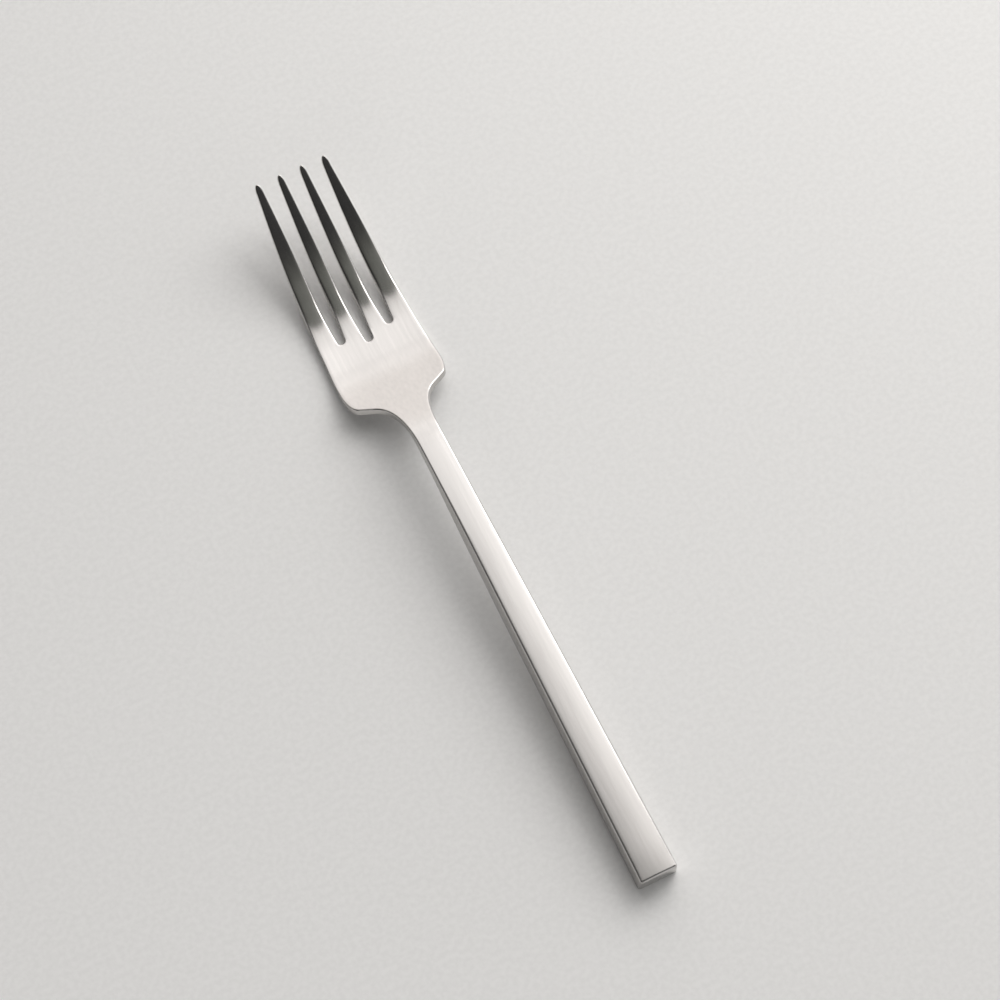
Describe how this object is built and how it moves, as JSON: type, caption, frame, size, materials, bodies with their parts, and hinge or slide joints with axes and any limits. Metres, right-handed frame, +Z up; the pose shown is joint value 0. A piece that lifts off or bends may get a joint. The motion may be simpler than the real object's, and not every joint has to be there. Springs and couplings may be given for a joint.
{
  "type": "salad fork",
  "caption": "Satin stainless salad fork with slim tapering tines, a square-shouldered palm and a straight hollow bar handle, lying on its back.",
  "frame": {"origin": "middle of the fork's bounding box, at the table it lies on", "axes": "+Y towards the tine tips, +Z up from the table, +X to the right seen from the handle"},
  "size_m": [0.024, 0.178, 0.0145],
  "materials": {
    "satin_steel": "satin stainless steel, brushed finely along the fork",
    "handle_resin": "pale filled resin, sealed inside the handle"
  },
  "bodies": {
    "root": {"fork_head": "satin_steel", "handle_upper_shell": "satin_steel", "handle_lower_shell": "satin_steel", "handle_filler": "handle_resin"}
  },
  "joints": []
}
